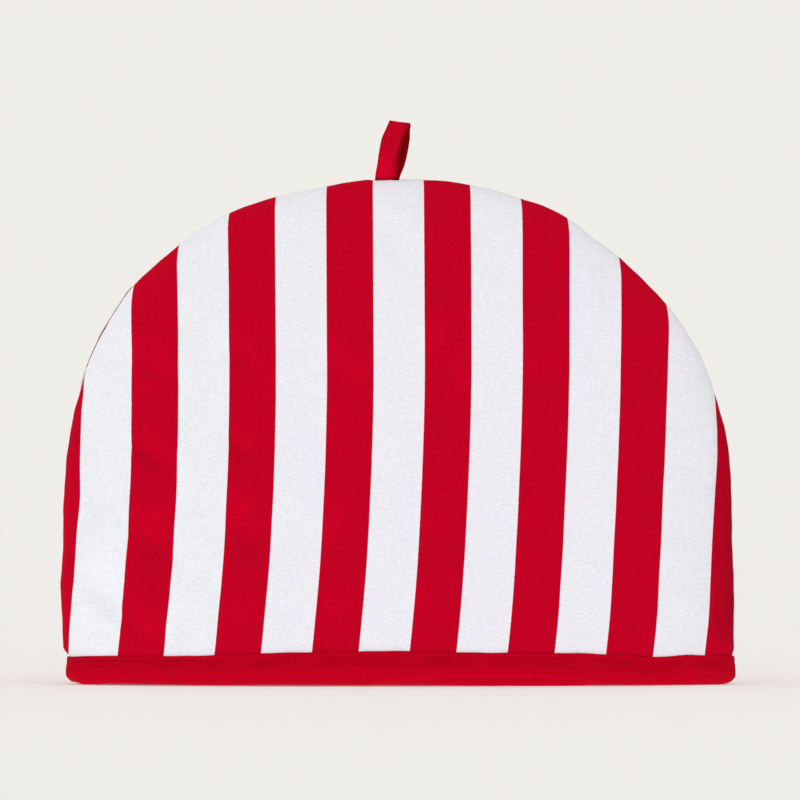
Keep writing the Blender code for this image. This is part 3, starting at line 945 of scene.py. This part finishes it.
class Nodes:
    """Short calls that add nodes to a material and join them."""

    def __init__(self, name):
        self.material = bpy.data.materials.new(name)
        self.material.use_nodes = True
        self.tree = self.material.node_tree
        self.shader = self.tree.nodes["Principled BSDF"]

    def join(self, value, socket):
        if isinstance(value, bpy.types.NodeSocket):
            self.tree.links.new(value, socket)
        else:
            socket.default_value = value

    def math(self, operation, a, b=0.0, c=0.0):
        """One sum, on values or sockets."""
        node = self.tree.nodes.new("ShaderNodeMath")
        node.operation = operation
        for value, socket in zip((a, b, c), node.inputs):
            self.join(value, socket)
        return node.outputs[0]

    def cloth(self):
        """The place on the flat cloth and its painted shade, given as the depth of a dent that
        looks as dark, in millimetres.
        """
        place = self.tree.nodes.new("ShaderNodeAttribute")
        place.attribute_name = "cloth"
        parts = self.tree.nodes.new("ShaderNodeSeparateXYZ")
        self.join(place.outputs["Vector"], parts.inputs[0])
        return [self.math("MULTIPLY", parts.outputs[k], 1000.0) for k in (0, 1, 2)]

    def streaks(self, u, v, kind):
        """Noise between about -1 and 1, drawn out along u."""
        at = self.tree.nodes.new("ShaderNodeCombineXYZ")
        place = (self.math("DIVIDE", u, kind.along), self.math("DIVIDE", v, kind.across), kind.seed)
        for value, socket in zip(place, at.inputs):
            self.join(value, socket)
        node = self.tree.nodes.new("ShaderNodeTexNoise")
        node.inputs["Scale"].default_value = 1.0
        node.inputs["Detail"].default_value = kind.detail
        self.join(at.outputs[0], node.inputs["Vector"])
        return self.math("MULTIPLY", self.math("SUBTRACT", node.outputs[0], 0.5), 3.0)

    def step(self, value, low, high):
        """A soft step from 0 at low to 1 at high."""
        node = self.tree.nodes.new("ShaderNodeMapRange")
        node.interpolation_type = "SMOOTHSTEP"
        for number, socket in zip((low, high), (node.inputs["From Min"], node.inputs["From Max"])):
            socket.default_value = number
        self.join(value, node.inputs["Value"])
        return node.outputs[0]

    def mix(self, share, a, b):
        node = self.tree.nodes.new("ShaderNodeMix")
        node.data_type = "RGBA"
        self.join(share, node.inputs["Factor"])
        for colour, socket in ((a, node.inputs[6]), (b, node.inputs[7])):
            self.join((*colour, 1.0) if isinstance(colour, tuple) else colour, socket)
        return node.outputs[2]

    def scale(self, colour, amount):
        node = self.tree.nodes.new("ShaderNodeVectorMath")
        node.operation = "SCALE"
        self.join(colour, node.inputs[0])
        self.join(amount, node.inputs["Scale"])
        return node.outputs[0]

    def bump(self, height, distance):
        node = self.tree.nodes.new("ShaderNodeBump")
        node.inputs["Distance"].default_value = distance
        self.join(height, node.inputs["Height"])
        self.join(node.outputs[0], self.shader.inputs["Normal"])

    def finish(self, colour, roughness=0.85, sheen=0.01, specular=0.01):
        self.join(colour, self.shader.inputs["Base Color"])
        self.shader.inputs["Roughness"].default_value = roughness
        self.shader.inputs["Diffuse Roughness"].default_value = DIFFUSE_ROUGHNESS
        self.shader.inputs["Specular IOR Level"].default_value = specular
        self.shader.inputs["Sheen Weight"].default_value = sheen
        self.shader.inputs["Sheen Roughness"].default_value = SHEEN_ROUGHNESS
        return self.material


def threads(nodes, u, v, seed, slub):
    """(brightness, height) of a plain weave, its weft running along u and its warp along v."""
    weft = nodes.streaks(u, v, Streaks(slub, WEAVE, seed, 1.0))
    slubs = nodes.streaks(u, v, Streaks(LONG_SLUBS * slub, LONG_SLUB_WIDTH, seed + 3.1, 1.0))
    warp = nodes.streaks(v, u, Streaks(WARP_SLUB, WARP_WIDTH, seed + 7.7, 1.0))
    turns = 2 * math.pi / WEAVE
    over, under = (nodes.math("SINE", nodes.math("MULTIPLY", at, turns)) for at in (u, v))
    uneven = nodes.math("ADD", weft, nodes.math("MULTIPLY", slubs, LONG_SLUB_SHARE))
    uneven = nodes.math("ADD", uneven, nodes.math("MULTIPLY", warp, WARP_SHARE))
    weave = nodes.math("MULTIPLY", nodes.math("MULTIPLY", over, under), CROSSING_RELIEF)
    return uneven, nodes.math("ADD", nodes.math("MULTIPLY", uneven, UNEVEN_RELIEF), weave)


def threads_and_painted_shade(nodes, colour, pattern, amount, slow):
    """The colour, brighter and darker with the threads and with the slow pattern of painted shade.
    """
    fine = nodes.math("MULTIPLY_ADD", pattern, amount, 1.0)
    return nodes.scale(colour, nodes.math("ADD", fine, slow))


def painted_shade_and_pattern(nodes, sink, dents, pattern, amount):
    """A slow pattern that is darker in the dents: painted shade and light from the depths the mesh
    carries, plus a random pattern.
    """
    return nodes.math("MULTIPLY_ADD", sink, -dents, nodes.math("MULTIPLY", pattern, amount))


def striped_cotton(name, white_centre):
    nodes = Nodes(name)
    u, v, sink = nodes.cloth()
    pattern, height = threads(nodes, u, v, 1.0, STRIPED_SLUB)
    mottles = nodes.streaks(u, v, MOTTLES)
    blotches = nodes.streaks(u, v, BLOTCHES)
    ragged = nodes.math("MULTIPLY", nodes.streaks(u, v, RAGS), STRIPE_RAGGED)
    place = nodes.math("ADD", nodes.math("SUBTRACT", u, white_centre / MM), ragged)
    repeat = nodes.math("WRAP", place, PITCH / MM / 2, -PITCH / MM / 2)
    half = WHITE_WIDTH / MM / 2
    red = nodes.step(nodes.math("ABSOLUTE", repeat), half - STRIPE_BLUR, half + STRIPE_BLUR)
    # cooler white in random soft patches, and painted cool light towards the left
    cool = nodes.math("MULTIPLY_ADD", nodes.step(u, *LEFT_COOL_LIGHT_AT), LEFT_COOL_LIGHT, COOL_SHARE)
    white = nodes.mix(nodes.math("ADD", mottles, cool), WHITE, COOL_WHITE)
    white_slow = painted_shade_and_pattern(nodes, sink, WHITE_SHADE_PER_MM, blotches, WHITE_BLOTCHES)
    red_slow = painted_shade_and_pattern(nodes, sink, RED_SHADE_PER_MM, blotches, RED_BLOTCHES)
    red_slow = nodes.math("MULTIPLY_ADD", mottles, RED_MOTTLES, red_slow)
    white_cloth = threads_and_painted_shade(nodes, white, pattern, WHITE_THREADS, white_slow)
    red_cloth = threads_and_painted_shade(nodes, RED, pattern, RED_THREADS, red_slow)
    nodes.bump(height, STRIPED_BUMP)
    return nodes.finish(nodes.mix(red, white_cloth, red_cloth))


def plain_cotton(name, colour, amount=PLAIN_THREADS):
    nodes = Nodes(name)
    u, v, sink = nodes.cloth()
    pattern, height = threads(nodes, u, v, 2.0, PLAIN_SLUB)
    mottles = nodes.streaks(u, v, PLAIN_COTTON_MOTTLES)
    nodes.bump(height, PLAIN_BUMP)
    slow = painted_shade_and_pattern(nodes, sink, RED_SHADE_PER_MM, mottles, PLAIN_MOTTLES)
    return nodes.finish(threads_and_painted_shade(nodes, colour, pattern, amount, slow))


def thread_material(name, colour):
    nodes = Nodes(name)
    u, v, _ = nodes.cloth()
    along = nodes.math("MULTIPLY", nodes.math("ADD", u, v), 2 * math.pi / TWIST_PITCH)
    twist = nodes.math("SINE", along)
    nodes.bump(twist, PLAIN_BUMP)
    # painted shade and light that follow the twist's bumps
    light = nodes.math("MULTIPLY_ADD", twist, TWIST, TWIST_MIDDLE)
    return nodes.finish(nodes.scale(colour, light), roughness=0.6)


# ---- Stage
FLOOR_COLOUR = (0.99, 0.99, 0.99)
FLOOR_NEAR = 0.5  # the floor fades out between these distances
FLOOR_FAR = 9.0
FLOOR_RADIUS = FLOOR_FAR * 1.05
FLOOR_SIDES = 64
FLOOR_DROP = 0.05 * MM
MOTTLE_SCALE = 90.0
MOTTLE_SHARE = 0.03
WORLD_COLOUR = (0.868, 0.848, 0.806)
WORLD_STRENGTH = 1.0
KEYS = {"front_key": (-15.0, -8.0), "back_key": (-165.0, -8.0)}  # degrees round and up
KEY_STRENGTH = 0.36 * math.pi
KEY_SOFTNESS = math.radians(16)


def make_floor():
    bpy.ops.mesh.primitive_circle_add(
        vertices=FLOOR_SIDES, radius=FLOOR_RADIUS, fill_type="NGON", location=(0, 0, -FLOOR_DROP)
    )
    floor = bpy.context.object
    floor.name = "floor"
    nodes = Nodes("pale_floor")
    tree = nodes.tree
    geometry = tree.nodes.new("ShaderNodeNewGeometry")
    length = tree.nodes.new("ShaderNodeVectorMath")
    length.operation = "LENGTH"
    nodes.join(geometry.outputs["Position"], length.inputs[0])
    mottle = tree.nodes.new("ShaderNodeTexNoise")
    mottle.inputs["Scale"].default_value = MOTTLE_SCALE
    nodes.join(geometry.outputs["Position"], mottle.inputs["Vector"])
    tint = nodes.math("MULTIPLY_ADD", mottle.outputs[0], MOTTLE_SHARE, 1 - MOTTLE_SHARE / 2)
    nodes.finish(nodes.scale(FLOOR_COLOUR, tint), roughness=0.9, sheen=0.0, specular=0.1)
    away = nodes.step(length.outputs["Value"], FLOOR_NEAR, FLOOR_FAR)
    clear = tree.nodes.new("ShaderNodeBsdfTransparent")
    blend = tree.nodes.new("ShaderNodeMixShader")
    nodes.join(away, blend.inputs[0])
    nodes.join(nodes.shader.outputs[0], blend.inputs[1])
    nodes.join(clear.outputs[0], blend.inputs[2])
    nodes.join(blend.outputs[0], tree.nodes["Material Output"].inputs["Surface"])
    floor.data.materials.append(nodes.material)
    floor.visible_diffuse = floor.visible_shadow = False


def make_light():
    world = bpy.data.worlds.new("studio")
    world.use_nodes = True
    background = world.node_tree.nodes["Background"]
    background.inputs["Color"].default_value = (*WORLD_COLOUR, 1.0)
    background.inputs["Strength"].default_value = WORLD_STRENGTH
    bpy.context.scene.world = world
    for name, place in KEYS.items():
        key = bpy.data.lights.new(name, "SUN")
        key.energy = KEY_STRENGTH
        key.angle = KEY_SOFTNESS
        lamp = bpy.data.objects.new(name, key)
        side, up = map(math.radians, place)
        lamp.rotation_euler = (math.pi / 2 - up, 0.0, side)
        bpy.context.scene.collection.objects.link(lamp)


def make_camera():
    data = bpy.data.cameras.new("camera")
    data.lens = LENS_MM
    data.sensor_width = SENSOR_MM
    camera = bpy.data.objects.new("camera", data)
    distance = PHOTO_SPAN * LENS_MM / SENSOR_MM
    camera.location = (PHOTO_MIDDLE_X, -distance, PHOTO_MIDDLE_Z)
    camera.rotation_euler = (math.pi / 2, 0.0, 0.0)
    data.clip_start, data.clip_end = CLIP_RANGE
    bpy.context.scene.collection.objects.link(camera)
    bpy.context.scene.camera = camera
    bpy.context.scene.view_settings.view_transform = "Standard"


def dress(piece, node, materials):
    for material in materials:
        piece.data.materials.append(material)
    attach(piece, "root")
    if node:
        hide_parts(node)


def make_cosy():
    front = make_panel("front_cloth", -1, FRONT_DENTS, seed=3)
    back = make_panel("back_cloth", 1, BACK_DENTS, seed=8)
    lining = plain_cotton("inner_cotton", INSIDE_WHITE, INNER_THREADS)
    front_stripes = striped_cotton("front_stripes", WHITE_CENTRE)
    back_stripes = striped_cotton("back_stripes", BACK_CENTRE)
    dress(front, "front_panel", [front_stripes, lining])
    dress(back, "back_panel", [back_stripes, lining])

    binding = make_binding("hem_cloth")
    red = plain_cotton("red_cotton", BINDING_RED)
    dress(binding, "hem_binding", [red])
    stitches = make_stitches("hem_stitching")
    dress(stitches, None, [thread_material("red_thread", THREAD_RED)])

    loop = make_loop("loop_cloth")
    loop_red = plain_cotton("loop_cotton", LOOP_RED)
    # the darker red of the tape's inner faces is painted shade
    loop_shaded = plain_cotton("loop_painted_shade", LOOP_SHADED_RED)
    dress(loop, "hanging_loop", [loop_red, loop_shaded])


make_camera()
make_light()
make_floor()
make_cosy()
